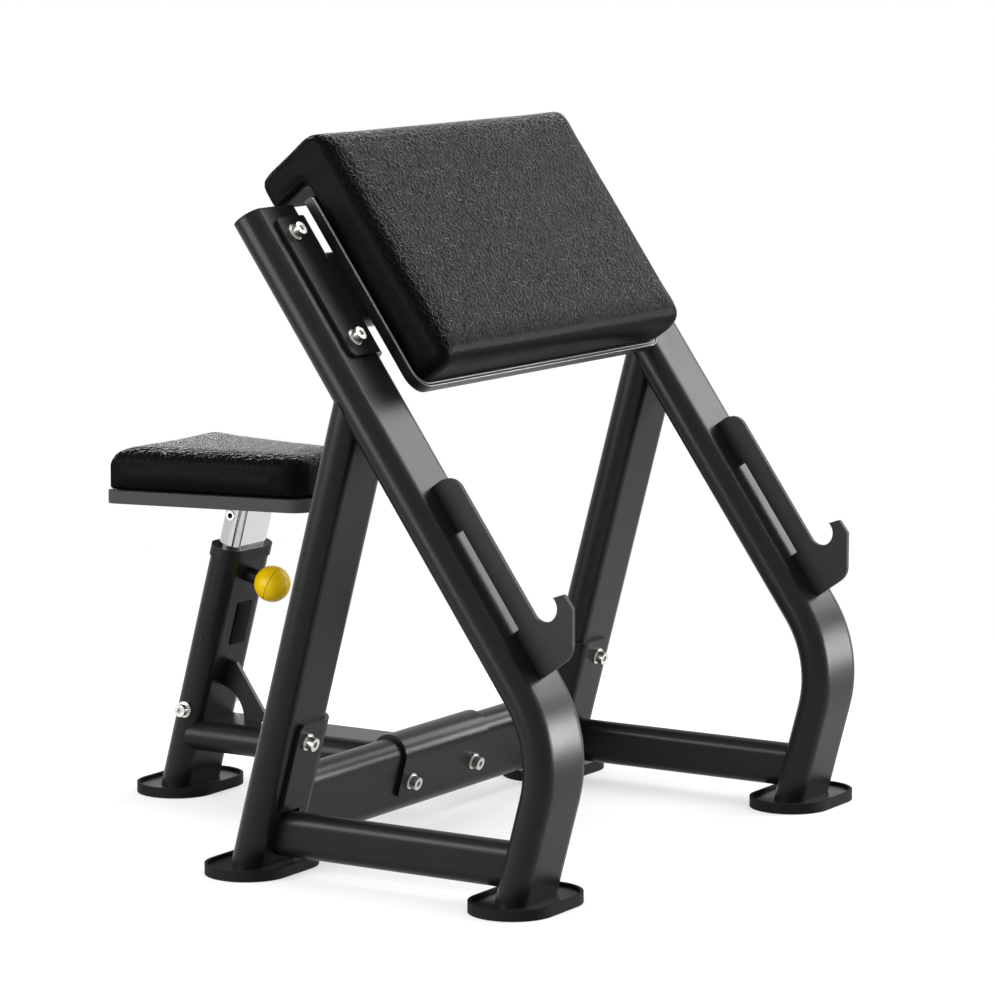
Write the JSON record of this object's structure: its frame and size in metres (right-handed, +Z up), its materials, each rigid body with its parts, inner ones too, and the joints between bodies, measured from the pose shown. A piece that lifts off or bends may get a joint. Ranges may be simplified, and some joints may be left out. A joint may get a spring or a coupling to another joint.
{
  "type": "preacher curl bench",
  "caption": "Free-standing arm curl bench: two bent tube side frames with bar hooks, a sloped padded arm rest between them, and a padded seat whose height is set by a spring pin.",
  "frame": {"origin": "on the floor, at the middle of the bench's length and width", "axes": "+Z up, -Y is the side with the bar hooks, +Y is the seat's end, +X across the bench"},
  "size_m": [0.8374, 0.8378, 0.88],
  "materials": {
    "powder_coat": "satin black powder coat",
    "shoe_rubber": "matt black rubber",
    "vinyl": "grained black vinyl",
    "board": "black covered board",
    "tray_plastic": "dark grey moulded plastic",
    "black_plastic": "black moulded plastic",
    "chrome": "polished chrome",
    "zinc": "bright zinc",
    "knob_plastic": "glossy yellow",
    "black_steel": "blackened steel"
  },
  "bodies": {
    "frame": {"beam_saddle": "powder_coat", "cross_member": "powder_coat", "frame_bolts": "zinc", "frame_nuts": "zinc", "frame_washers": "zinc", "gusset": "powder_coat", "left_arm": "powder_coat", "left_arm_cap": "black_plastic", "left_bar_hook": "powder_coat", "left_front_foot_plate": "powder_coat", "left_front_shoe": "shoe_rubber", "left_leg_saddle": "powder_coat", "left_pad_saddle": "powder_coat", "left_rear_foot_plate": "powder_coat", "left_rear_leg": "powder_coat", "left_rear_shoe": "shoe_rubber", "left_side_rail": "powder_coat", "pad_beam": "powder_coat", "pad_board": "board", "pad_bolts": "zinc", "pad_cushion": "vinyl", "plunger_barrel": "black_steel", "post_collar": "black_plastic", "post_foot_plate": "powder_coat", "post_shoe": "shoe_rubber", "right_arm": "powder_coat", "right_arm_cap": "black_plastic", "right_bar_hook": "powder_coat", "right_front_foot_plate": "powder_coat", "right_front_shoe": "shoe_rubber", "right_leg_saddle": "powder_coat", "right_pad_saddle": "powder_coat", "right_rear_foot_plate": "powder_coat", "right_rear_leg": "powder_coat", "right_rear_shoe": "shoe_rubber", "right_side_rail": "powder_coat", "seat_post": "powder_coat", "seat_rail": "powder_coat", "set_screw": "black_steel", "stop_bolt": "zinc"},
    "pull_pin": {"plunger_pin": "zinc", "ball_knob": "knob_plastic", "plunger_spring": "zinc"},
    "seat": {"seat_tube": "chrome", "seat_plate": "powder_coat", "seat_tray": "tray_plastic", "seat_cushion": "vinyl", "seat_screws": "zinc", "seat_eyelets": "zinc", "tube_plug": "black_plastic"}
  },
  "joints": [
    {"name": "seat_slide", "type": "slide", "parent": "frame", "child": "seat", "axis": [0, -0.2588, 0.9659], "range_m": [-0.025, 0.125]},
    {"name": "pin_pull", "type": "slide", "parent": "frame", "child": "pull_pin", "axis": [0, -0.9659, -0.2588], "range_m": [0, 0.0075], "stiffness_N_per_m": 1500, "springref_m": -0.006, "deforming": ["plunger_spring"]}
  ]
}
